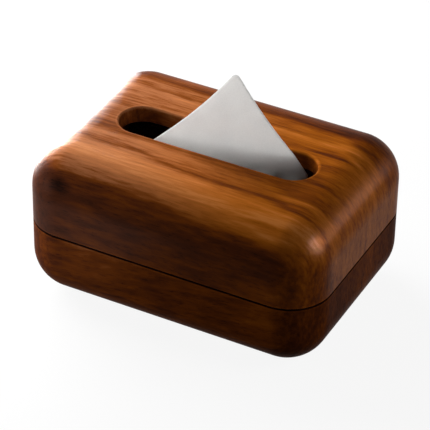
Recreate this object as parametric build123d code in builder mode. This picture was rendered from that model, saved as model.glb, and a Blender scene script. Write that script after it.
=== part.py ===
from build123d import *
from math import radians, tan
import os

os.makedirs("parts", exist_ok=True)

# A wooden napkin box: a hollowed tray, a lift-off lid with a slot, and the napkins in it.
# Millimetres, +Z up. X runs along the box and -Y is its front. The origin is under its middle,
# on the surface that it stands on.

# Napkins that the box is made for
napkin_length = 165.0  # the sheet's short side, which lies along the box
napkin_fold_width = 108.0  # the sheet's long side, folded in half
stack_height = 22.0  # what is left of the refill
fold_round = 3.0  # roll of the pile's folded edges
paper_thickness = 0.8  # the standing napkin, its plies fluffed up

# Room and wood around the napkins
end_room = 5.5
side_room = 6.5
wall = 12.0
floor_thickness = 12.0
top_thickness = 11.3
cavity_corner = 12.0

# Outside form
base_height = 49.5
lid_height = 50.5
edge_round = 27.5  # of all the outside edges and corners
rim_ease = 0.8  # softened edges along the parting line and under the slot

# Slot in the lid
slot_length = 133.0
slot_width = 30.0
slot_ease = 1.5

# Tongue of the tray, which keeps the lid in place
tongue_thickness = 3.5
tongue_height = 4.0
tongue_chamfer = 0.6
tongue_side_gap = 0.3
tongue_top_gap = 0.5

# Disc magnets in the two rims
magnet_diameter = 4.0
magnet_thickness = 3.0
magnet_sink = 0.1  # below the rim
magnet_side_gap = 0.05  # glue line

# Non-slip feet let into the underside
foot_diameter = 14.0
foot_thickness = 3.0
foot_stand = 1.2  # how far they stand out
foot_margin = 5.0  # from the rolled bottom edge
foot_chamfer = 0.6
foot_side_gap = 0.1

# Standing napkin: one corner of a sheet, drawn up through the slot
corner_rise = 51.0  # its tip above the lid
corner_offset = 11.0  # its tip to the right of the middle
corner_half_angle = 42.0  # of each edge from upright
right_end_gap = 2.5  # from the slot's right end
left_end_gap = 18.0  # from the slot's left end
foot_draw = 18.0  # how far each side is drawn in where it leaves the pile
paper_bow = 5.0  # how far its middle stands forward of its sides
pile_gap = 0.3  # from the pile that it comes out of

# Worked out from those
box_length = napkin_length + 2 * (end_room + wall)
box_width = napkin_fold_width + 2 * (side_room + wall)
cavity_length = box_length - 2 * wall
cavity_width = box_width - 2 * wall
slot_end_wood = (cavity_length - slot_length) / 2
ceiling_round = min(cavity_corner, slot_end_wood - slot_ease)  # ends short of the slot
tongue_length = cavity_length + 2 * tongue_thickness
tongue_width = cavity_width + 2 * tongue_thickness
tongue_corner = cavity_corner + tongue_thickness
rebate_length = tongue_length + 2 * tongue_side_gap
rebate_width = tongue_width + 2 * tongue_side_gap
rebate_corner = tongue_corner + tongue_side_gap

underside = foot_stand
floor = underside + floor_thickness
parting = underside + base_height
ceiling = parting + lid_height - top_thickness
top = parting + lid_height
pile_top = floor + stack_height

# Corners of the box, by name, as the signs of X and Y
corners = {"front_left": (-1, -1), "front_right": (1, -1), "back_left": (-1, 1), "back_right": (1, 1)}

# Each magnet sits in the front or back rim where its straight run ends, midway between the box's
# outside and the tongue
magnet_x = box_length / 2 - edge_round
magnet_y = box_width / 2 - (wall - tongue_thickness) / 2
magnet_places = [(sign_x * magnet_x, sign_y * magnet_y) for sign_x, sign_y in corners.values()]
magnet_socket_depth = magnet_thickness + magnet_sink

# The feet stand on the flat inside the rolled bottom edge
foot_x = box_length / 2 - edge_round - foot_margin - foot_diameter / 2
foot_y = box_width / 2 - edge_round - foot_margin - foot_diameter / 2
foot_places = [(sign_x * foot_x, sign_y * foot_y) for sign_x, sign_y in corners.values()]

# Base: a block with a rolled lower edge, a tongue on its rim, and a hollow for the napkins
with BuildPart() as base:
    with BuildSketch(Plane.XY.offset(underside)):
        RectangleRounded(box_length, box_width, edge_round)
    extrude(amount=base_height)
    fillet(base.faces().sort_by(Axis.Z)[0].edges(), edge_round)
    chamfer(base.faces().sort_by(Axis.Z)[-1].edges(), rim_ease)
    with BuildSketch(Plane.XY.offset(parting)):
        RectangleRounded(tongue_length, tongue_width, tongue_corner)
    extrude(amount=tongue_height)
    with BuildSketch(Plane.XY.offset(floor)):
        RectangleRounded(cavity_length, cavity_width, cavity_corner)
    extrude(amount=parting + tongue_height - floor, mode=Mode.SUBTRACT)
    chamfer(base.faces().sort_by(Axis.Z)[-1].edges(), tongue_chamfer)
    with BuildSketch(Plane.XY.offset(parting)):
        with Locations(*magnet_places):
            Circle(magnet_diameter / 2 + magnet_side_gap)
    extrude(amount=-magnet_socket_depth, mode=Mode.SUBTRACT)
    with BuildSketch(Plane.XY.offset(underside)):
        with Locations(*foot_places):
            Circle(foot_diameter / 2 + foot_side_gap)
    extrude(amount=foot_thickness - foot_stand, mode=Mode.SUBTRACT)
base.part.label = "base"
export_step(base.part, "parts/base.step")

# Hollow of the lid, from the parting line up to its ceiling
with BuildPart() as lid_hollow:
    with BuildSketch(Plane.XY.offset(parting)):
        RectangleRounded(cavity_length, cavity_width, cavity_corner)
    extrude(amount=ceiling - parting)
    fillet(lid_hollow.faces().sort_by(Axis.Z)[-1].edges(), ceiling_round)

# Lid: a block with a strongly rolled upper edge, hollowed from below, with a rebate over the tongue
with BuildPart() as lid:
    with BuildSketch(Plane.XY.offset(parting)):
        RectangleRounded(box_length, box_width, edge_round)
    extrude(amount=lid_height)
    fillet(lid.faces().sort_by(Axis.Z)[-1].edges(), edge_round)
    chamfer(lid.faces().sort_by(Axis.Z)[0].edges(), rim_ease)
    add(lid_hollow.part, mode=Mode.SUBTRACT)
    with BuildSketch(Plane.XY.offset(parting)):
        RectangleRounded(rebate_length, rebate_width, rebate_corner)
    extrude(amount=tongue_height + tongue_top_gap, mode=Mode.SUBTRACT)
    with BuildSketch(Plane.XY.offset(ceiling)):
        SlotOverall(slot_length, slot_width)
    extrude(amount=top_thickness, mode=Mode.SUBTRACT)
    slot_rims = lid.edges(Select.LAST).filter_by(Axis.Z, reverse=True)
    slot_middle = (ceiling + top) / 2
    fillet(slot_rims.filter_by(lambda edge: edge.center().Z > slot_middle), slot_ease)
    chamfer(slot_rims.filter_by(lambda edge: edge.center().Z < slot_middle), rim_ease)
    with BuildSketch(Plane.XY.offset(parting)):
        with Locations(*magnet_places):
            Circle(magnet_diameter / 2 + magnet_side_gap)
    extrude(amount=magnet_socket_depth, mode=Mode.SUBTRACT)
lid.part.label = "lid"
export_step(lid.part, "parts/lid.step")

# Magnets: one disc in each corner of the tray's rim, and one over it in the lid's rim
for corner, (sign_x, sign_y) in corners.items():
    lower_face = parting - magnet_sink - magnet_thickness
    upper_face = parting + magnet_sink
    for half, disc_bottom in {"base": lower_face, "lid": upper_face}.items():
        with BuildPart() as magnet:
            with BuildSketch(Plane((sign_x * magnet_x, sign_y * magnet_y, disc_bottom))):
                Circle(magnet_diameter / 2)
            extrude(amount=magnet_thickness)
        magnet.part.label = f"{half}_magnet_{corner}"
        export_step(magnet.part, f"parts/{half}_magnet_{corner}.step")

# Feet: soft discs, bevelled where they meet the table
for corner, (sign_x, sign_y) in corners.items():
    with BuildPart() as foot:
        with BuildSketch(Plane((sign_x * foot_x, sign_y * foot_y, 0))):
            Circle(foot_diameter / 2)
        extrude(amount=foot_thickness)
        chamfer(foot.edges().group_by(Axis.Z)[0], foot_chamfer)
    foot.part.label = f"foot_{corner}"
    export_step(foot.part, f"parts/foot_{corner}.step")

# Pile of folded napkins on the tray's floor, its folds rolled along the two long sides
with BuildPart() as napkin_stack:
    with BuildSketch(Plane.YZ):
        with Locations((0, floor + stack_height / 2)):
            RectangleRounded(napkin_fold_width, stack_height, fold_round)
    extrude(amount=napkin_length / 2, both=True)
napkin_stack.part.label = "napkin_stack"
export_step(napkin_stack.part, "parts/napkin_stack.step")

# Standing napkin: a bowed upright sheet, cut to the outline of a sheet's corner above the slot
# and of the part that is drawn together below it
tip_x = corner_offset
tip_z = top + corner_rise
right_x = slot_length / 2 - right_end_gap
left_x = left_end_gap - slot_length / 2
edge_slope = tan(radians(corner_half_angle))
right_z = tip_z - (right_x - tip_x) / edge_slope
left_z = tip_z - (tip_x - left_x) / edge_slope
napkin_foot = pile_top + pile_gap
with BuildPart() as standing_napkin:
    with BuildSketch(Plane.XY.offset(napkin_foot)):
        with BuildLine():
            ThreePointArc(
                (-slot_length / 2, paper_bow / 2), (0, -paper_bow / 2), (slot_length / 2, paper_bow / 2)
            )
        trace(line_width=paper_thickness)
    extrude(amount=tip_z - napkin_foot)
    with BuildSketch(Plane.XZ):
        with BuildLine():
            Polyline(
                (tip_x, tip_z),
                (right_x, right_z),
                (right_x - foot_draw, napkin_foot),
                (left_x + foot_draw, napkin_foot),
                (left_x, left_z),
                close=True,
            )
        make_face()
    extrude(amount=slot_width / 2, both=True, mode=Mode.INTERSECT)
standing_napkin.part.label = "standing_napkin"
export_step(standing_napkin.part, "parts/standing_napkin.step")
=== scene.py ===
# %% [markdown]
# # A wooden napkin box
# The real box is two hollowed halves of dark, streaky wood, with one large radius on every outside
# edge. A slot in the lid hands out paper napkins, and one of them stands out of it by its corner.
# The halves, their magnets and the feet come ready from the solid model, at their real size. This
# lesson gives them their finishes, folds the paper, and sets up the studio around the box.

# %% Load the solid model
from math import cos, pi, radians, sin, sqrt
from types import SimpleNamespace

import bmesh
import bpy
from mathutils import Matrix, Vector, noise


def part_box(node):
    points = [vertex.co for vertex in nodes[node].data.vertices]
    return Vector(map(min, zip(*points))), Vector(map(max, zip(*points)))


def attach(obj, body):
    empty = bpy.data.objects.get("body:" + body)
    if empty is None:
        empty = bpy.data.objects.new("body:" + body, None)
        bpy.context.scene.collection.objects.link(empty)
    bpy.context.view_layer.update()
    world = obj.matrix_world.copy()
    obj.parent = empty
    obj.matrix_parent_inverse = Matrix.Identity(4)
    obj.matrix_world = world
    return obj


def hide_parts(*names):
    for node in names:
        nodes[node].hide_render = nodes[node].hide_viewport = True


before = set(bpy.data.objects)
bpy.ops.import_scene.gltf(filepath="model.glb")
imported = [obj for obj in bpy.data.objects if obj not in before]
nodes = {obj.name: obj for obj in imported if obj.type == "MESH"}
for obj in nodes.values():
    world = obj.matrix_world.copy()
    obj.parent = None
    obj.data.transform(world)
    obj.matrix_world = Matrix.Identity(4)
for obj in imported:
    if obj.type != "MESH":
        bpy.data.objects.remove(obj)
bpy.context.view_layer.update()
mm = 0.001
print("Solid pieces:", ", ".join(sorted(nodes)))

# %% [markdown]
# ## The camera
# A camera can be aimed by eye, or worked out. Here the angle, the roll and the distance come from
# fitting the box's known outline, parting line and slot to the picture. A long lens far away keeps
# the box's edges nearly parallel, as they are in the picture.

# %% Place the camera
picture_size = 430  # pixels, and the picture is square
focal_length = 2400.0  # pixels
azimuth = radians(27.088)
elevation = radians(35.108)
roll = radians(-1.085)
distance = 1.48936
aim = Vector((0, 0, 46.2 * mm))
aim_shift = (-0.411 * mm, 0.854 * mm)  # to the right and up, which centres the picture

right = Vector((cos(azimuth), sin(azimuth), 0))
back = Vector((sin(azimuth) * cos(elevation), -cos(azimuth) * cos(elevation), sin(elevation)))
up = back.cross(right)
camera_right = right * cos(roll) - up * sin(roll)
camera_up = right * sin(roll) + up * cos(roll)
place = aim + camera_right * aim_shift[0] + camera_up * aim_shift[1] + back * distance

camera = bpy.data.objects.new("camera", bpy.data.cameras.new("camera"))
camera.data.sensor_width = 36
camera.data.lens = camera.data.sensor_width * focal_length / picture_size
turn = Matrix((camera_right, camera_up, back)).transposed().to_4x4()
camera.matrix_world = Matrix.Translation(place) @ turn
bpy.context.scene.collection.objects.link(camera)
bpy.context.scene.camera = camera
print("Camera lens:", round(camera.data.lens, 1), "mm")

# %% [markdown]
# ## A short way to write shaders
# A shader is a net of small nodes. A few helpers keep the recipes below readable: one adds any node
# and fills its sockets with values or links, one does arithmetic, one eases a value from 0 to 1
# between two limits, and one gives a colour ramp its stops from a list.


# %% Shader helpers
def new_material(name):
    """An empty material with its output node."""
    material = bpy.data.materials.new(name)
    material.use_nodes = True
    material.node_tree.nodes.clear()
    material.node_tree.nodes.new("ShaderNodeOutputMaterial")
    return material


def fill(material, socket, value):
    """Link a socket to another node's output, or set its value."""
    if isinstance(value, bpy.types.NodeSocket):
        material.node_tree.links.new(value, socket)
    else:
        socket.default_value = value


def add_node(material, kind, options=None, **sockets):
    """One node. Options are its own settings, and sockets are its inputs by name."""
    made = material.node_tree.nodes.new("ShaderNode" + kind)
    for name, value in (options or {}).items():
        setattr(made, name, value)
    for name, value in sockets.items():
        fill(material, made.inputs[name.replace("_", " ")], value)
    return made


def calculate(material, operation, *values):
    """The result of one arithmetic step on sockets or numbers."""
    made = add_node(material, "Math", {"operation": operation})
    for socket, value in zip(made.inputs, values):
        fill(material, socket, value)
    return made.outputs[0]


def ease(material, value, low, high, start=0.0, end=1.0):
    """Turn a value between low and high into a smooth step from start to end."""
    made = add_node(material, "MapRange", {"interpolation_type": "SMOOTHSTEP"}, Value=value)
    for name, number in {"From Min": low, "From Max": high, "To Min": start, "To Max": end}.items():
        made.inputs[name].default_value = number
    return made.outputs["Result"]


def ramp(material, value, stops, interpolation="LINEAR"):
    """A colour ramp whose stops are (place, colour) or (place, grey)."""
    made = add_node(material, "ValToRGB", Fac=value)
    made.color_ramp.interpolation = interpolation
    elements = made.color_ramp.elements
    while len(elements) < len(stops):
        elements.new(1.0)
    for element, (place, colour) in zip(elements, stops):
        element.position = place
        element.color = (*colour, 1.0) if isinstance(colour, tuple) else (colour, colour, colour, 1.0)
    return made.outputs["Color"]


def stretched_noise(material, position, size, detail=3.0):
    """Noise whose blobs have a size along, across and upright, in the units of position."""
    scale = [1 / side for side in size]
    placed = add_node(material, "Mapping", Vector=position, Scale=scale).outputs["Vector"]
    made = add_node(material, "TexNoise", Vector=placed, Scale=1.0, Detail=detail)
    return calculate(material, "SUBTRACT", made.outputs["Fac"], 0.5)


def finish_with(material, shader):
    """Send a shader to the material's output."""
    output = material.node_tree.nodes["Material Output"]
    material.node_tree.links.new(shader.outputs[0], output.inputs["Surface"])
    return material


def dress(piece, material):
    """Give a piece one material all over."""
    piece.data.materials.clear()
    piece.data.materials.append(material)


# %% [markdown]
# ## The wood
# Both halves are carved from solid blocks, so the figure has to run through the block and come out
# on every face. A picture wrapped round the outside would show seams. So the wood is worked out in
# space, in millimetres. Each step below changes one number, the tone, and at the end a ramp turns
# the tone into a colour, from nearly black to honey.

# %% Colours and sizes for the wood
wood_tones = [
    (0.00, (0.014, 0.004, 0.002)),
    (0.25, (0.100, 0.023, 0.006)),
    (0.45, (0.225, 0.052, 0.005)),
    (0.65, (0.375, 0.099, 0.007)),
    (0.85, (0.505, 0.143, 0.016)),
    (1.00, (0.605, 0.200, 0.040)),
]
lid_low, lid_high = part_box("lid")
half_box = (lid_high.x / mm, lid_high.y / mm)  # half the box's length and width
lid_top = lid_high.z / mm
parting = lid_low.z / mm  # height of the joint between the halves
edge_round = 27.5  # of the outside edges and corners
print("Half the box:", [round(side, 1) for side in half_box], "mm, parting at", round(parting, 1), "mm")

# %% [markdown]
# ### Growth layers
# The layers stand upright along the box, so they show as long streaks on the top and as upright
# stripes on the ends. They fan out a little to the right and wander, because no tree grows quite
# straight. Near the right end the back ones bend forwards, and round a knot they part, as they do
# where a branch grew. A point's layer is a number, from the front to the back.

# %% Growth layers
fan_out = 0.001  # how much wider the layers stand for each millimetre to the right
wander_size = (110.0, 38.0, 60.0)
wander_depth = 16.0
ripple_size = (45.0, 14.0, 30.0)
ripple_depth = 6.0
bend_run = (65.0, 100.0)  # where along the box the layers bend
bend_side = 25.0  # the bend grows from this far in front of the middle to this far behind it
bend_depth = 9.0
knot_ripple = 1.6  # how uneven a knot is
knot_reach = 2.2  # how far out it parts the layers, in its own radii


def measure_block(wood, dip):
    """Where a point lies in the block, in millimetres. dip turns the grain out of the level."""
    place = add_node(wood, "TexCoord").outputs["Object"]
    measured = add_node(wood, "Mapping", Vector=place, Scale=(1 / mm,) * 3).outputs["Vector"]
    axes = add_node(wood, "SeparateXYZ", Vector=measured)
    spot = SimpleNamespace(along=axes.outputs["X"], across=axes.outputs["Y"], upwards=axes.outputs["Z"])
    spot.grain = add_node(wood, "Mapping", Vector=measured, Rotation=(0, dip, 0)).outputs["Vector"]
    spot.to_end = calculate(wood, "ABSOLUTE", spot.along)
    spot.to_side = calculate(wood, "ABSOLUTE", spot.across)
    return spot


def grow_layers(wood, spot, slope):
    """How far back a point lies as the tree grew, its layer, and the ripple that bends both."""
    fan = calculate(wood, "MULTIPLY_ADD", spot.along, -fan_out, 1.0)
    level = calculate(wood, "MULTIPLY", spot.across, fan)
    wander = stretched_noise(wood, spot.grain, wander_size, detail=2.0)
    level = calculate(wood, "MULTIPLY_ADD", wander, wander_depth, level)
    ripple = stretched_noise(wood, spot.grain, ripple_size)
    level = calculate(wood, "MULTIPLY_ADD", ripple, ripple_depth, level)
    layer = calculate(wood, "MULTIPLY_ADD", spot.along, slope, level)
    bend = ease(wood, spot.along, *bend_run, 0.0, bend_depth)
    bend = calculate(wood, "MULTIPLY", bend, ease(wood, spot.across, -bend_side, bend_side))
    return level, calculate(wood, "ADD", layer, bend), ripple


def measure_to_knot(wood, spot, knot, ripple):
    """How far a point is from the middle of a knot, in the knot's own radii."""
    away = add_node(wood, "VectorMath", {"operation": "SUBTRACT"})
    fill(wood, away.inputs[0], spot.grain)
    away.inputs[1].default_value = knot["place"]
    sized = add_node(wood, "Mapping", Vector=away.outputs[0], Scale=[1 / r for r in knot["radii"]])
    length = add_node(wood, "VectorMath", {"operation": "LENGTH"}, Vector=sized.outputs["Vector"])
    return calculate(wood, "MULTIPLY_ADD", ripple, knot_ripple, length.outputs["Value"])


print("Layers wander by up to", wander_depth / 2, "mm")

# %% [markdown]
# ### Tone of the layers
# Each layer has a tone of its own, which turns lighter or darker along the block. The front of the lid is
# dark, up to a plane that leans back towards the bottom, so it shows as one broad dark figure. That
# darkness is partly heartwood and partly painted shade, since the front faces away from the light. Both
# ends are cut across the layers. Hard bands would look striped there, so the ends are evened out.

# %% Tone of the layers
layers_reach = 90.0  # how far each side of the middle the layers' tones are given for
length_reach = 100.0  # and how far each way along the block
ends_run = (78.0, 94.0)  # from the middle, where the ends' own tone begins
ends_height = (72.0, 94.0)  # where it gives way to the layers again, below the top
ends_share = 0.8
left_end_run = (-98.0, -84.0)  # the left end keeps it up to the top
left_end_share = 0.85
heart_and_shade_edge = 7.0  # half the width of the step into the heartwood and its painted shade
heart_and_shade_run = (84.0, 98.0)  # from the middle, where the heartwood and painted shade get weaker
heart_and_shade_on_ends = 0.5


def tone_between(wood, value, reach, stops):
    """The tone for a value between -reach and reach, from a list of (value, tone)."""
    share = calculate(wood, "MULTIPLY_ADD", value, 0.5 / reach, 0.5)
    return ramp(wood, share, [(0.5 + 0.5 * stop / reach, tone) for stop, tone in stops], "EASE")


def change_lengthwise(wood, spot, tone, changes):
    """Make a tone lighter or darker along the block. A ramp holds no negative, so 0.5 is no change."""
    stops = [(stop, 0.5 + change) for stop, change in changes]
    change = calculate(wood, "SUBTRACT", tone_between(wood, spot.along, length_reach, stops), 0.5)
    return calculate(wood, "ADD", tone, change)


def even_out_ends(wood, spot, tone, end_tone):
    """Bring the tones on the two ends closer to one."""
    even = ease(wood, spot.to_end, *ends_run)
    even = calculate(wood, "MULTIPLY", even, ease(wood, spot.upwards, *ends_height, ends_share, 0.0))
    even = calculate(wood, "MAXIMUM", even, ease(wood, spot.along, *left_end_run, left_end_share, 0.0))
    return calculate(wood, "MULTIPLY_ADD", even, calculate(wood, "SUBTRACT", end_tone, tone), tone)


def darken_heart_and_shade(wood, spot, level, tone, heart_and_shade):
    """Dark heartwood and painted shade in front of a plane that leans back towards the bottom."""
    beyond = calculate(wood, "MULTIPLY_ADD", spot.upwards, -heart_and_shade["lean"], heart_and_shade["level"])
    beyond = calculate(wood, "MULTIPLY_ADD", spot.along, heart_and_shade["tilt"], beyond)
    beyond = calculate(wood, "SUBTRACT", beyond, level)
    darker = ease(wood, beyond, -heart_and_shade_edge, heart_and_shade_edge, 0.0, heart_and_shade["tone"])
    share = ease(wood, spot.to_end, *heart_and_shade_run, 1.0, heart_and_shade_on_ends)
    return calculate(wood, "MULTIPLY_ADD", darker, share, tone)


print("Tones are given up to", layers_reach, "mm across and", length_reach, "mm along")

# %% [markdown]
# ### Fine marks
# Streaks, flecks, fibres and growth lines lie over the layers. They are noise stretched along the grain,
# and on dark wood they show less. The streaks are strongest before the right end. Where the two halves
# meet, the outside edge gets a line of painted shade between two lips with a faint painted highlight.

# %% Streaks, flecks and fibres
streak_size = (150.0, 7.0, 45.0)
streak_depth = 0.45
strong_streaks = (46.0, 68.0)  # where along the box they grow stronger
strong_depth = 1.8
weak_streaks = (74.0, 90.0)  # and weaker again
weak_change = -1.2
fleck_size = (18.0, 1.7, 4.5)
fleck_depth = 0.46
fibre_size = (14.0, 0.9, 2.4)
fibre_depth = 0.20
growth_line_step = 6.5
growth_line_limits = (0.2, 1.0)  # of its sine wave, above which a line shows
growth_line_depth = 0.03
dark_to_light = (0.2, 0.5)  # tones between which the marks come out
marks_on_dark = 0.55
darkest = 0.12  # tone of the darkest wood, apart from the knot and the joint
darkest_blend = 0.2
fleck_on_darkest = 0.12


def add_marks(wood, spot, layer, tone):
    """Lay streaks, flecks, fibres and growth lines over a tone. The fibres are also given back."""
    strength = ease(wood, spot.along, *strong_streaks, streak_depth, strong_depth)
    strength = calculate(wood, "ADD", strength, ease(wood, spot.along, *weak_streaks, 0.0, weak_change))
    streak = stretched_noise(wood, spot.grain, streak_size)
    fleck = stretched_noise(wood, spot.grain, fleck_size, detail=2.0)
    fibre = stretched_noise(wood, spot.grain, fibre_size)
    wave = calculate(wood, "SINE", calculate(wood, "MULTIPLY", layer, 2 * pi / growth_line_step))
    growth_line = ease(wood, wave, *growth_line_limits)
    marks = calculate(wood, "MULTIPLY", streak, strength)
    marks = calculate(wood, "MULTIPLY_ADD", fleck, fleck_depth, marks)
    marks = calculate(wood, "MULTIPLY_ADD", fibre, fibre_depth, marks)
    marks = calculate(wood, "MULTIPLY_ADD", growth_line, -growth_line_depth, marks)
    shown = ease(wood, tone, *dark_to_light, marks_on_dark, 1.0)
    tone = calculate(wood, "MULTIPLY_ADD", marks, shown, tone)
    tone = calculate(wood, "SMOOTH_MAX", tone, darkest, darkest_blend)
    return calculate(wood, "MULTIPLY_ADD", fleck, fleck_on_darkest, tone), fibre


print("Streaks are", streak_size[0] / streak_size[1], "times as long as they are wide")

# %% Joint between the halves
line_width = (0.3, 1.0)  # from the joint, over which its painted shade line fades
joint_shade_tone = -0.7
lip_width = (1.0, 2.2)  # and its lips of painted highlight
lip_highlight_tone = 0.10
joint_depth = (1.4, 0.9)  # below the outside, where both fade


def past(material, value, limit):
    """How far a value is past a limit, and 0 before it."""
    return calculate(material, "MAXIMUM", calculate(material, "SUBTRACT", value, limit), 0.0)


def slanted(material, first, second):
    """The straight distance that the two sides of a right angle span."""
    squares = calculate(material, "MULTIPLY_ADD", first, first, calculate(material, "POWER", second, 2.0))
    return calculate(material, "SQRT", squares)


def paint_joint_shade_and_highlight(wood, spot, tone):
    """A painted shade line between lips of painted highlight, on the outside edge of the joint only."""
    gap = calculate(wood, "ABSOLUTE", calculate(wood, "SUBTRACT", spot.upwards, parting))
    lip_highlight = ease(wood, gap, *lip_width, lip_highlight_tone, 0.0)
    joint = calculate(wood, "ADD", lip_highlight, ease(wood, gap, *line_width, joint_shade_tone, 0.0))
    past_end = past(wood, spot.to_end, half_box[0] - edge_round)
    past_side = past(wood, spot.to_side, half_box[1] - edge_round)
    outside = [edge_round - depth for depth in joint_depth]
    at_edge = ease(wood, slanted(wood, past_end, past_side), *outside)
    return calculate(wood, "MULTIPLY_ADD", joint, at_edge, tone)


print("Joint drawn", 2 * line_width[1], "mm wide")

# %% [markdown]
# ### Hollows and the slot's rim
# Nobody polishes the inside of such a box, so the walls of the hollows and of the slot are duller than the
# outside, and painted shade makes them darker. Boxes just round them say where that is. The slot's upper
# rim is the other way round: a painted highlight keeps it pale.

# %% Hollows and the slot's rim
inside_edge = 0.6  # over which the polish and the painted shade end
rim_width = (0.4, 1.6)  # from the middle of the rim, over which the painted highlight fades
rim_height = (2.5, 1.2)  # below the lid's top, where it begins


def paint_shade_in_hollows(wood, spot, tone, hollows):
    """Darken the walls of the hollows with painted shade. Where the wood is unpolished is also given back.
    """
    unpolished = 0.0
    for hollow in hollows:
        depth = calculate(wood, "SUBTRACT", hollow["half_length"], spot.to_end)
        to_wall = calculate(wood, "SUBTRACT", hollow["half_width"], spot.to_side)
        depth = calculate(wood, "MINIMUM", depth, to_wall)
        depth = calculate(wood, "MINIMUM", depth, calculate(wood, "SUBTRACT", spot.upwards, hollow["low"]))
        depth = calculate(wood, "MINIMUM", depth, calculate(wood, "SUBTRACT", hollow["high"], spot.upwards))
        inside = ease(wood, depth, 0.0, inside_edge)
        tone = calculate(wood, "MULTIPLY_ADD", inside, hollow["change"], tone)
        unpolished = calculate(wood, "MAXIMUM", unpolished, inside)
    return tone, unpolished


def paint_slot_rim_highlight(wood, spot, tone, rim):
    """A painted highlight along the round-ended rim of the slot."""
    past_run = past(wood, spot.to_end, rim["half_run"])
    from_rim = calculate(wood, "SUBTRACT", slanted(wood, past_run, spot.to_side), rim["radius"])
    painted_highlight = ease(wood, calculate(wood, "ABSOLUTE", from_rim), *rim_width, rim["change"], 0.0)
    heights = [lid_top - depth for depth in rim_height]
    return calculate(wood, "MULTIPLY_ADD", painted_highlight, ease(wood, spot.upwards, *heights), tone)


print("Rim rubbed", 2 * rim_width[1], "mm wide")

# %% [markdown]
# ### Finish
# The wood is oiled, so its gloss is low, and pores break it up. Pores and fibres also give the surface its
# relief, by a bump. Light wood towards the left gets a painted sheen: a small amount of white added to its
# colour.

# %% Make a wood
knot_core = 1.2  # how far out a knot is dark, in its own radii
knot_tone = -0.30
pore_size = (5.0, 0.32, 0.6)
pore_limits = (0.10, 0.17)  # of the noise, above which there is a pore
pore_tone = -0.10
pore_relief = -0.6
relief = 0.15 * mm
relief_strength = 0.25
# a painted sheen: white added to light wood, strongest at the left end
painted_sheen_run = (-75.0, 55.0)  # along the box
painted_sheen_white = 0.055
painted_sheen_tones = (0.42, 0.74)  # between which it comes out
painted_sheen_on_dark = 0.05
polished_tones = (0.1, 0.9)  # over which the roughness goes from dark to light wood
roughness_dark = 0.36
roughness_light = 0.30
roughness_inside = 0.3  # added where the wood is unpolished


def paint_sheen(wood, spot, tone):
    """The colour of a tone, with a little white painted on as sheen where light wood lies towards the left.
    """
    painted_sheen = ease(wood, spot.along, *painted_sheen_run, painted_sheen_white, 0.0)
    painted_sheen = calculate(wood, "MULTIPLY", painted_sheen, ease(wood, tone, *painted_sheen_tones, painted_sheen_on_dark, 1.0))
    paler = add_node(wood, "VectorMath", {"operation": "ADD"})
    fill(wood, paler.inputs[0], ramp(wood, tone, wood_tones))
    fill(wood, paler.inputs[1], painted_sheen)
    return paler.outputs["Vector"]


def make_wood(name, block):
    """Streaky oiled wood. block says how the layers run in it and what else shows on it."""
    wood = new_material(name)
    spot = measure_block(wood, block["dip"])
    level, layer, ripple = grow_layers(wood, spot, block["slope"])
    if "knot" in block:
        to_knot = measure_to_knot(wood, spot, block["knot"], ripple)
        parted = ease(wood, to_knot, 0.0, knot_reach, block["knot"]["push"], 0.0)
        layer = calculate(wood, "ADD", layer, parted)
    tone = tone_between(wood, layer, layers_reach, block["layers"])
    if "end_tone" in block:
        tone = even_out_ends(wood, spot, tone, block["end_tone"])
    tone = change_lengthwise(wood, spot, tone, block["lengthwise"])
    if "heart_and_shade" in block:
        tone = darken_heart_and_shade(wood, spot, level, tone, block["heart_and_shade"])
    tone, fibre = add_marks(wood, spot, layer, tone)
    if "knot" in block:
        tone = calculate(wood, "ADD", tone, ease(wood, to_knot, 0.0, knot_core, knot_tone, 0.0))
    tone = paint_joint_shade_and_highlight(wood, spot, tone)
    pore = ease(wood, stretched_noise(wood, spot.grain, pore_size, detail=1.0), *pore_limits)
    tone = calculate(wood, "MULTIPLY_ADD", pore, pore_tone, tone)
    tone, unpolished = paint_shade_in_hollows(wood, spot, tone, block["hollows"])
    if "slot_rim" in block:
        tone = paint_slot_rim_highlight(wood, spot, tone, block["slot_rim"])

    height = calculate(wood, "MULTIPLY_ADD", pore, pore_relief, fibre)
    bump = add_node(wood, "Bump", Height=height, Strength=relief_strength, Distance=relief)
    roughness = ease(wood, tone, *polished_tones, roughness_dark, roughness_light)
    roughness = calculate(wood, "MULTIPLY_ADD", unpolished, roughness_inside, roughness)
    shader = add_node(wood, "BsdfPrincipled", Base_Color=paint_sheen(wood, spot, tone), Roughness=roughness)
    fill(wood, shader.inputs["Normal"], bump.outputs["Normal"])
    shader.inputs["Specular IOR Level"].default_value = block["gloss"]
    return finish_with(wood, shader)


print("Wood is rough by", roughness_light, "to", roughness_dark)

# %% [markdown]
# ### Wood of the two halves
# Each half is given a block of its own. The lid's layers follow the bands that its top shows in the
# picture, from the front to the back. The base lies in shade, so a few dark layers are enough for it.

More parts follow.
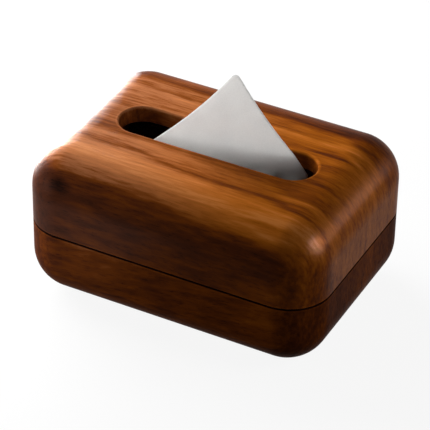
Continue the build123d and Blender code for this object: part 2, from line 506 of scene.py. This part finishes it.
# %% Wood of the lid
wall = 12.0
inside_skin = 0.5  # how far the unpolished wood and its painted shade reach into a wall
hollow_size = [side - wall + inside_skin for side in half_box]
lid_ceiling = 89.9
lid_hollow = {
    "half_length": hollow_size[0],
    "half_width": hollow_size[1],
    "low": parting,
    "high": lid_ceiling + inside_skin,
    # painted shade on the walls of the lid's hollow
    "change": -0.22,
}
slot_half_length = 66.5
slot_half_width = 15.0
slot_ease = 1.5  # radius of the slot's upper rim
slot_polish = 0.8  # below the lid's top, where the polish and the painted shade end in the slot
slot_walls = {
    "half_length": slot_half_length + inside_skin,
    "half_width": slot_half_width + inside_skin,
    "low": lid_ceiling + inside_skin,
    "high": lid_top - slot_polish,
    # painted shade on the slot's walls
    "change": -0.16,
}
lid_block = {
    "slope": 0.065,  # how far forwards the layers run for each millimetre to the right
    "dip": 0.0,
    "gloss": 0.014,
    "layers": [
        (-90, 0.62),
        (-72, 0.64),
        (-62, 0.72),
        (-57, 0.79),
        (-50, 0.92),
        (-43, 0.86),
        (-38, 0.66),
        (-36, 0.42),
        (-33, 0.58),
        (-27, 0.67),
        (-20, 0.49),
        (0, 0.51),
        (18, 0.57),
        (24, 0.62),
        (29, 0.77),
        (34, 0.54),
        (41, 0.57),
        (47, 0.34),
        (90, 0.30),
    ],
    "lengthwise": [
        (-100, -0.14),
        (-86, -0.15),
        (-69, 0.02),
        (-40, 0.04),
        (0, 0.02),
        (35, 0.0),
        (72, 0.0),
        (90, 0.10),
        (100, 0.05),
    ],
    "end_tone": 0.54,
    # dark heartwood, with painted shade for the front that faces away from the light
    "heart_and_shade": {"level": 8.5, "lean": 0.75, "tilt": 0.04, "tone": -0.40},
    "knot": {"place": (-71.0, -69.0, 87.0), "radii": (11.0, 9.0, 8.0), "push": 5.0},
    "hollows": [lid_hollow, slot_walls],
    "slot_rim": {
        "half_run": slot_half_length - slot_half_width,
        "radius": slot_half_width + slot_ease / 2,
        # painted highlight on the slot's rim
        "change": 0.16,
    },
}
lid_wood = make_wood("lid_wood", lid_block)
dress(nodes["lid"], lid_wood)
print("Nodes in the lid's wood:", len(lid_wood.node_tree.nodes))

# %% Wood of the base
base_hollow = {
    "half_length": hollow_size[0],
    "half_width": hollow_size[1],
    "low": 12.0,  # just below the tray's floor
    "high": 60.0,  # above the tongue
    # painted shade on the walls of the base's hollow
    "change": -0.22,
}
base_block = {
    "slope": -0.02,
    "dip": radians(7),
    "gloss": 0.002,
    "layers": [(-90, 0.30), (-60, 0.36), (-25, 0.28), (15, 0.42), (50, 0.28), (90, 0.32)],
    "lengthwise": [(-95, -0.12), (-75, 0.0), (-50, 0.04), (-30, 0.03), (5, 0.0), (60, 0.0), (95, -0.06)],
    "hollows": [base_hollow],
}
base_wood = make_wood("base_wood", base_block)
dress(nodes["base"], base_wood)
print("Nodes in the base's wood:", len(base_wood.node_tree.nodes))

# %% [markdown]
# ## Magnets and feet
# The magnets are small steel discs with bright plating, and the feet are soft dark rubber. Neither
# shows in the picture, but both show when the lid is lifted or the box is turned over. Plating is
# never quite even, so its roughness wanders. Rubber is dull, with a fine grain.


# %% Plating and rubber
def make_plating():
    """Bright metal plating with faint blotches."""
    plating = new_material("magnet_plating")
    place = add_node(plating, "TexCoord").outputs["Object"]
    blotch = add_node(plating, "TexNoise", Vector=place, Scale=900.0, Detail=3.0).outputs["Fac"]
    colour = ramp(plating, blotch, [(0.3, (0.60, 0.58, 0.54)), (0.7, (0.76, 0.75, 0.72))])
    shader = add_node(plating, "BsdfPrincipled", Base_Color=colour, Metallic=1.0)
    fill(plating, shader.inputs["Roughness"], ease(plating, blotch, 0.3, 0.7, 0.2, 0.34))
    return finish_with(plating, shader)


def make_rubber():
    """Dull dark rubber with a fine grain."""
    rubber = new_material("foot_rubber")
    place = add_node(rubber, "TexCoord").outputs["Object"]
    grain = add_node(rubber, "TexNoise", Vector=place, Scale=2500.0, Detail=2.0).outputs["Fac"]
    colour = ramp(rubber, grain, [(0.35, (0.016, 0.015, 0.014)), (0.65, (0.032, 0.030, 0.028))])
    bump = add_node(rubber, "Bump", Height=grain, Strength=0.3, Distance=0.1 * mm)
    shader = add_node(rubber, "BsdfPrincipled", Base_Color=colour, Normal=bump.outputs["Normal"])
    fill(rubber, shader.inputs["Roughness"], ease(rubber, grain, 0.3, 0.7, 0.75, 0.9))
    return finish_with(rubber, shader)


plating = make_plating()
rubber = make_rubber()
magnets = [name for name in nodes if "magnet" in name]
feet = [name for name in nodes if "foot" in name]
for name in magnets:
    dress(nodes[name], plating)
for name in feet:
    dress(nodes[name], rubber)
print("Dressed:", len(magnets), "magnets and", len(feet), "feet")

# %% [markdown]
# ## The paper
# Napkin paper is soft, white and thin enough for light from behind to come through, which is why the
# standing corner glows. So its shader mixes a plain surface with one that is lit from the far side.
# Loose fibres make it slightly uneven in colour and height.

# %% Paper
light_through = 0.6  # share of the light that comes from the far side


def make_paper():
    """Soft white tissue that lets some light through."""
    paper = new_material("napkin_paper")
    place = add_node(paper, "TexCoord").outputs["Object"]
    cloud = add_node(paper, "TexNoise", Vector=place, Scale=60.0, Detail=3.0).outputs["Fac"]
    fleck = add_node(paper, "TexNoise", Vector=place, Scale=1400.0, Detail=2.0).outputs["Fac"]
    mottle = calculate(paper, "MULTIPLY_ADD", fleck, 0.5, calculate(paper, "MULTIPLY", cloud, 0.5))
    colour = ramp(paper, mottle, [(0.3, (0.77, 0.77, 0.765)), (0.7, (0.86, 0.86, 0.85))])
    bump = add_node(paper, "Bump", Height=fleck, Strength=0.2, Distance=0.15 * mm)
    front = add_node(paper, "BsdfPrincipled", Base_Color=colour, Normal=bump.outputs["Normal"])
    front.inputs["Roughness"].default_value = 0.85
    front.inputs["Specular IOR Level"].default_value = 0.15
    through = add_node(paper, "BsdfTranslucent", Color=colour, Normal=bump.outputs["Normal"])
    shader = add_node(paper, "MixShader", Fac=light_through)
    fill(paper, shader.inputs[1], front.outputs[0])
    fill(paper, shader.inputs[2], through.outputs[0])
    return finish_with(paper, shader)


paper = make_paper()
print("Paper lets", light_through, "of its light through")


# %% Pieces from a mesh
def make_piece(name, bm):
    """An object in the scene from a finished bmesh."""
    mesh = bpy.data.meshes.new(name)
    bm.to_mesh(mesh)
    bm.free()
    piece = bpy.data.objects.new(name, mesh)
    bpy.context.scene.collection.objects.link(piece)
    return piece


def make_sheet(name, bm, thickness):
    """A smooth sheet of paper with a thickness, half of it on each side of the mesh."""
    bmesh.ops.recalc_face_normals(bm, faces=bm.faces[:])
    sheet = make_piece(name, bm)
    for face in sheet.data.polygons:
        face.use_smooth = True
    solid = sheet.modifiers.new("thickness", "SOLIDIFY")
    solid.thickness = thickness
    solid.offset = 0
    dress(sheet, paper)
    return sheet


# %% [markdown]
# ## The standing napkin
# A napkin is a flat sheet, and the corner that stands up is still flat paper, only bowed. So the
# piece starts as a square grid stood on its corner, with the tip slightly rounded. Above the slot it
# keeps the sheet's edges and crosses the slot, from its front on the left to its back on the right.
# Below the slot the sheet is too wide for the opening, so it is drawn together into pleats, which
# are deepest where it leaves the pile. A plane cuts it off there.

# %% Course of the standing napkin
sheet_low, sheet_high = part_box("standing_napkin")
tip = Vector((11.0 * mm, 2.0 * mm, sheet_high.z + 1.5 * mm))  # where the corner's edges would meet
tip_round = 0.030  # how far the corner is rounded, as a share of the sheet's side
left_slope = 0.685  # how far the left edge runs out on its way down
left_flare = 3.2  # how fast that grows, per metre
right_slope = 0.68
left_reach = 56 * mm
right_reach = 45 * mm
swing = 0.24  # how fast the sheet turns from the slot's front on the left to its back on the right
foot_swing = 0.35  # share of that where the sheet leaves the pile
bow = 2.0 * mm
drawn_in = 10 * mm  # of each side, where the sheet leaves the pile
pleats = 5
pleat_start = lid_high.z - 13 * mm
pleat_limit = 6 * mm
slot_room = 14.2 * mm  # half the slot's width, less the paper


def half_width(z, to_right):
    """How far the sheet would reach to one side of its tip at a height, with nothing around it."""
    below = tip.z - z
    return below * right_slope if to_right else below * (left_slope + left_flare * below)


def bowed(x, z):
    """How far back the sheet stands: it crosses the slot, less so towards its foot."""
    height = (z - sheet_low.z) / (pleat_start - sheet_low.z)
    fade = min(1.0, foot_swing + (1 - foot_swing) * height)
    above = max(0.0, z - lid_high.z) / (tip.z - lid_high.z)
    return tip.y + swing * (x - tip.x) * fade - bow * sin(pi * above)


def gathered(share, z):
    """The place of a share of the sheet's half width, drawn together and laid in pleats."""
    depth = max(0.0, (pleat_start - z) / (pleat_start - sheet_low.z))
    reach = right_reach if share > 0 else left_reach
    kept = min(half_width(z, share > 0), reach - drawn_in * depth)
    x = tip.x + share * kept
    y = bowed(x, z)
    squeeze = (tip.z - z) / max(kept, mm)
    deep = kept / pleats / pi * sqrt(2 * max(0.0, squeeze**2 - 1)) * min(1.0, 2 * depth)
    return x, y + min(deep, pleat_limit, slot_room - abs(y)) * sin(pi * pleats * share)


print("Standing napkin:", round((tip.z - sheet_low.z) / mm, 1), "mm from its foot to its tip")

# %% Standing napkin
grid_steps = 120
standing_thickness = 0.4 * mm
drop = tip.z - sheet_low.z
bm = bmesh.new()
bmesh.ops.create_grid(bm, x_segments=grid_steps, y_segments=grid_steps, size=0.5)
for vert in bm.verts:
    left_run, right_run = 0.5 - vert.co.x, 0.5 - vert.co.y
    inwards = Vector((tip_round - left_run, tip_round - right_run))
    if min(inwards) > 0:
        inwards *= max(inwards) / inwards.length
        left_run, right_run = tip_round - inwards.x, tip_round - inwards.y
    vert.co = (right_run - left_run, 0, tip.z - (left_run + right_run) * drop)
everything = bm.verts[:] + bm.edges[:] + bm.faces[:]
bmesh.ops.bisect_plane(bm, geom=everything, plane_co=sheet_low, plane_no=(0, 0, -1), clear_outer=True)
for vert in bm.verts:
    share = vert.co.x * drop / max(tip.z - vert.co.z, 0.01 * mm)
    x, y = gathered(share, vert.co.z)
    vert.co = (x, y, vert.co.z)
standing = make_sheet("standing_sheet", bm, standing_thickness)
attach(standing, "napkin")
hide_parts("standing_napkin")
paper_area = sum(face.area for face in standing.data.polygons)
print("Standing napkin:", len(standing.data.polygons), "faces,", round(paper_area, 5), "m2")

# %% [markdown]
# ## The pile
# Under the standing napkin lie the others, each a sheet folded once. A single block would look like
# a sponge when the lid is off, so each napkin is folded for itself: an edge is drawn out into the
# lower leaf, spun half a turn for the fold, and drawn back for the upper leaf. Small drifts and
# waves keep the pile from looking machined.

# %% Folded napkins
pile_low, pile_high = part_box("napkin_stack")
napkin_count = 10
napkin_height = (pile_high.z - pile_low.z) / napkin_count
sheet_thickness = 0.5 * mm
fold_radius = (napkin_height - 2 * sheet_thickness) / 2
fold_steps = 8
pile_length = pile_high.x - pile_low.x
pile_width = pile_high.y - pile_low.y
drift = 0.8 * mm
cuts_along = 40
cuts_across = 26
wave_scale = 35
wave_step = 0.35  # how much the waves change from one napkin to the next
wave_height = 0.5 * fold_radius


def only(kind, geometry):
    """The vertices or the edges of what an operator gave back."""
    return [part for part in geometry if isinstance(part, kind)]


def draw_out(bm, edges, distance):
    """Draw edges out to the back or the front, and give back the edges at the far side."""
    drawn = bmesh.ops.extrude_edge_only(bm, edges=edges)["geom"]
    bmesh.ops.translate(bm, verts=only(bmesh.types.BMVert, drawn), vec=(0, distance, 0))
    return only(bmesh.types.BMEdge, drawn)


def fold_napkin(number):
    """One napkin of the pile, counted from the floor, with its fold at the front or the back."""
    side = 1 if number % 2 else -1
    level = pile_low.z + number * napkin_height + sheet_thickness
    slide = Vector((noise.noise((number, 0, 5)), noise.noise((number, 5, 0)), 0)) * drift
    half = pile_length / 2 - drift
    leaf = pile_width - 2 * drift - fold_radius
    start_y = -side * (pile_width / 2 - drift)
    bm = bmesh.new()
    ends = [bm.verts.new((sign * half, start_y, level)) for sign in (-1, 1)]
    rim = draw_out(bm, [bm.edges.new(ends)], side * leaf)
    centre = (0, start_y + side * leaf, level + fold_radius)
    spun = bmesh.ops.spin(
        bm, geom=rim, cent=centre, axis=(side, 0, 0), angle=pi, steps=fold_steps, dvec=(0, 0, 0)
    )
    draw_out(bm, only(bmesh.types.BMEdge, spun["geom_last"]), -side * leaf)
    long_edges = [e for e in bm.edges if abs(e.verts[0].co.x - e.verts[1].co.x) > half]
    bmesh.ops.subdivide_edges(bm, edges=long_edges, cuts=cuts_along, use_grid_fill=True)
    leaf_edges = [e for e in bm.edges if e.calc_length() > leaf / 2]
    bmesh.ops.subdivide_edges(bm, edges=leaf_edges, cuts=cuts_across, use_grid_fill=True)
    for vert in bm.verts:
        wave = noise.noise(vert.co * wave_scale + Vector((0, 0, number * wave_step)))
        vert.co += slide + Vector((0, 0, wave * wave_height))
    piece = make_sheet(f"folded_napkin_{number + 1:02d}", bm, sheet_thickness)
    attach(piece, "base")
    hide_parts("napkin_stack")
    return piece


pile = [fold_napkin(number) for number in range(napkin_count)]
print("Folded napkins:", len(pile), "of", len(pile[0].data.polygons), "faces each")

# %% [markdown]
# ## The studio
# The floor and the sky are white where the camera or a mirror sees them. For all other light they
# are dim, because a white room would wash the wood out. The floor still takes a soft shadow. A black
# cloth overhead, which the camera doesn't see, keeps the sky out of the box's gloss.


# %% Floor
def seen_directly(tree):
    """1 for rays from the camera, from a mirror or through glass, and 0 for other rays."""
    rays = tree.nodes.new("ShaderNodeLightPath")
    total = rays.outputs["Is Camera Ray"]
    for name in ("Is Glossy Ray", "Is Transmission Ray"):
        adder = tree.nodes.new("ShaderNodeMath")
        adder.operation = "MAXIMUM"
        tree.links.new(total, adder.inputs[0])
        tree.links.new(rays.outputs[name], adder.inputs[1])
        total = adder.outputs[0]
    return total


floor_size = 4.0
floor_seen = 0.95  # how pale the floor is in the picture
floor_bounce = 0.18  # and for the light that it throws back on the box
keep_shadow = 0.10  # share of the floor's own light that stays in the picture
white = (1.0, 1.0, 1.0, 1.0)
bm = bmesh.new()
bmesh.ops.create_grid(bm, x_segments=1, y_segments=1, size=floor_size)
floor = make_piece("floor", bm)
floor_paint = new_material("floor_paint")
in_picture = seen_directly(floor_paint.node_tree)
pale = add_node(floor_paint, "MapRange", Value=in_picture, To_Min=floor_bounce, To_Max=floor_seen)
matt = add_node(floor_paint, "BsdfDiffuse", Color=pale.outputs["Result"])
glow = add_node(floor_paint, "Emission", Color=white, Strength=1.0)
mix = add_node(floor_paint, "MixShader")
fill(floor_paint, mix.inputs[0], calculate(floor_paint, "MULTIPLY", in_picture, 1 - keep_shadow))
fill(floor_paint, mix.inputs[1], matt.outputs[0])
fill(floor_paint, mix.inputs[2], glow.outputs[0])
finish_with(floor_paint, mix)
dress(floor, floor_paint)
print("Floor keeps", keep_shadow, "of its shadow")

# %% Sky and ceiling
sky_fill = 0.07  # what the sky adds to the light on the box
world = bpy.data.worlds.new("sky")
bpy.context.scene.world = world
world.use_nodes = True
sky = world.node_tree.nodes["Background"]
sky.inputs["Color"].default_value = white
brightness = world.node_tree.nodes.new("ShaderNodeMapRange")
world.node_tree.links.new(seen_directly(world.node_tree), brightness.inputs["Value"])
brightness.inputs["To Min"].default_value = sky_fill
brightness.inputs["To Max"].default_value = 1.0
world.node_tree.links.new(brightness.outputs["Result"], sky.inputs["Strength"])

ceiling_size = 2.5
ceiling_height = 1.3
bm = bmesh.new()
bmesh.ops.create_grid(bm, x_segments=1, y_segments=1, size=ceiling_size)
bmesh.ops.translate(bm, verts=bm.verts[:], vec=(0, 0, ceiling_height))
ceiling = make_piece("ceiling_cloth", bm)
black_cloth = new_material("black_cloth")
finish_with(black_cloth, add_node(black_cloth, "BsdfDiffuse", Color=(0.02, 0.02, 0.02, 1.0)))
dress(ceiling, black_cloth)
ceiling.visible_camera = False
print("Sky fill:", sky_fill, "and a cloth at", ceiling_height, "m")

# %% [markdown]
# ## The lights
# The picture has one broad light behind the box on its left, which leaves the front in shade. One
# large window panel gives it, and three small panels lift the front, the right end and its corner.
# The rolled edges also show highlights, and the left one flares. A highlight is a mirror image, so
# bright cards close to the box make them, and they light nothing else. The cards along the ends are
# split into slats, turned towards the edge that mirrors them, and they shine in narrow beams. A
# plain card would also whiten the top for anyone who looks along it from the far end.


# %% Panels
def add_panel(name, place, aim, width, height, power, lights=True, mirrored=True, beam=pi):
    """A rectangular light that faces a point. It may light things, show in mirrors, or both."""
    lamp = bpy.data.lights.new(name, "AREA")
    lamp.shape = "RECTANGLE"
    lamp.size = width
    lamp.size_y = height
    lamp.energy = power
    lamp.spread = beam
    panel = bpy.data.objects.new(name, lamp)
    panel.location = place
    panel.rotation_euler = (Vector(aim) - Vector(place)).to_track_quat("-Z", "Y").to_euler()
    panel.visible_camera = False
    panel.visible_diffuse = lights
    panel.visible_glossy = mirrored
    bpy.context.scene.collection.objects.link(panel)


box_middle = (0, 0, 0.08)
floor_place = (-0.115, -0.15, 0.002)
above_floor = (-0.115, -0.15, 1.0)
add_panel(
    "window_panel", (-0.523, 0.211, 0.305), box_middle, width=0.60, height=0.44, power=10.4, mirrored=False
)
add_panel("front_panel", (-0.25, -0.20, 0.08), box_middle, width=0.12, height=0.10, power=0.24)
add_panel("floor_card", floor_place, above_floor, width=0.12, height=0.12, power=0.11, lights=False)
add_panel("end_panel", (0.62, 0.30, 0.25), box_middle, width=0.10, height=0.14, power=0.3)
add_panel(
    "corner_panel", (0.50, -0.02, 0.42), box_middle, width=0.20, height=0.20, power=0.6, mirrored=False
)
print("Panels:", [light.name for light in bpy.data.lights])

# %% Cards near the edges
slat_beam = radians(80)
corner_beam = radians(30)
corner_place = (0.125, -0.043, 0.105)
corner_facing = (-0.85, -0.25, -0.40)
left_facing = (0.665, -0.714, -0.15)
end_facing = (-0.67, -0.74, -0.10)


def add_card(name, place, facing, width, height, power, beam):
    """A bright card close to the box, which only shows as a highlight on the nearest edge."""
    aim = Vector(place) + Vector(facing)
    add_panel(name, place, aim, width, height, power, lights=False, beam=beam)


def add_louvre(name, count, place, facing, width, height, power):
    """A row of cards along one end of the box, all turned the same way like the slats of a blind."""
    step = width / count
    slat_width = step * sqrt(2)  # turned by about 45 degrees, they still close the row
    for number in range(count):
        slat = Vector(place) + Vector((0, (number - (count - 1) / 2) * step, 0))
        add_card(f"{name}_{number + 1}", slat, facing, slat_width, height, power / count, slat_beam)


add_card(
    "corner_card", corner_place, corner_facing, width=0.022, height=0.024, power=0.011, beam=corner_beam
)
add_louvre("left_slat", 6, (-0.125, 0.017, 0.0890), left_facing, width=0.146, height=0.043, power=0.204)
add_louvre("end_slat", 4, (0.135, 0.040, 0.0985), end_facing, width=0.11, height=0.027, power=0.020)
bpy.context.scene.view_settings.view_transform = "Standard"
print("Lights:", len(bpy.data.lights))
